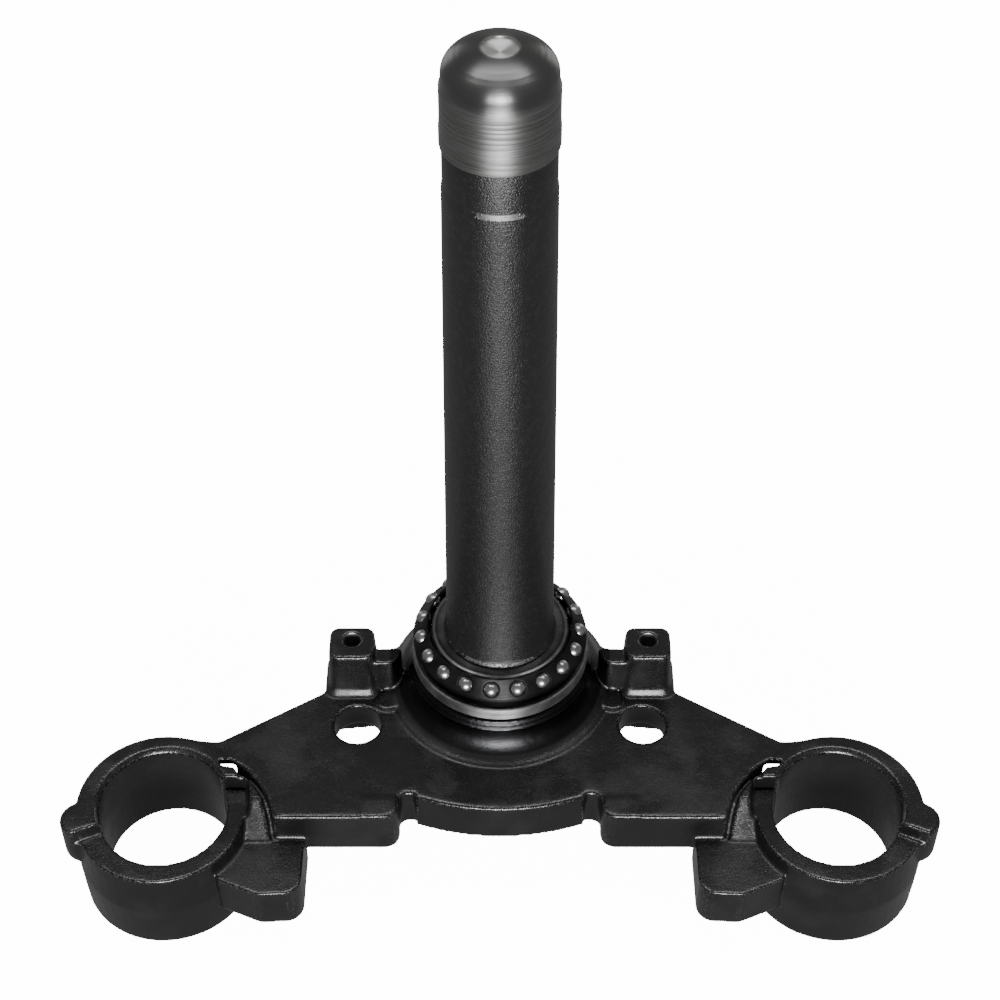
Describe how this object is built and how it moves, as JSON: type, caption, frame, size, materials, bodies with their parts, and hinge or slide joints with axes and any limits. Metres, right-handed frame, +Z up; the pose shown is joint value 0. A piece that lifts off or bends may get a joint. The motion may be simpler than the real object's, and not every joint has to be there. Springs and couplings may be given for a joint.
{
  "type": "motorcycle steering stem and bottom fork bridge",
  "caption": "Cast bottom fork bridge with a pressed-in steering stem, split fork clamps, threaded posts and a caged lower ball bearing.",
  "frame": {"origin": "on the stem's axis, in the plane of the bridge's underside, at the mouth of the stem's bore", "axes": "+Z up along the stem, +X to the right across the two fork clamps, -Y towards the fork tubes, which is the front of the motorcycle"},
  "size_m": [0.2414, 0.1008, 0.246],
  "materials": {
    "black_paint": "semi-gloss black paint over a fine cast surface",
    "black_tube_paint": "black paint over a fine turned tube, bare bright steel above the upper bearing journal",
    "turned_steel": "turned steel",
    "ground_steel": "ground bearing steel",
    "dark_steel": "dark pressed steel",
    "polished_balls": "polished steel"
  },
  "bodies": {
    "bridge": {"bottom_bridge": "black_paint", "steering_stem": "black_tube_paint", "seal_ring": "turned_steel", "bearing_cone": "ground_steel"},
    "bearing_balls": {"ball_cage": "dark_steel", "ball_01": "polished_balls", "ball_02": "polished_balls", "ball_03": "polished_balls", "ball_04": "polished_balls", "ball_05": "polished_balls", "ball_06": "polished_balls", "ball_07": "polished_balls", "ball_08": "polished_balls", "ball_09": "polished_balls", "ball_10": "polished_balls", "ball_11": "polished_balls", "ball_12": "polished_balls", "ball_13": "polished_balls", "ball_14": "polished_balls", "ball_15": "polished_balls", "ball_16": "polished_balls", "ball_17": "polished_balls", "ball_18": "polished_balls", "ball_19": "polished_balls"}
  },
  "joints": [
    {"name": "bearing_turn", "type": "hinge", "parent": "bridge", "child": "bearing_balls", "pos_m": [0, 0, 0.0542], "axis": [0, 0, 1], "continuous": true}
  ]
}
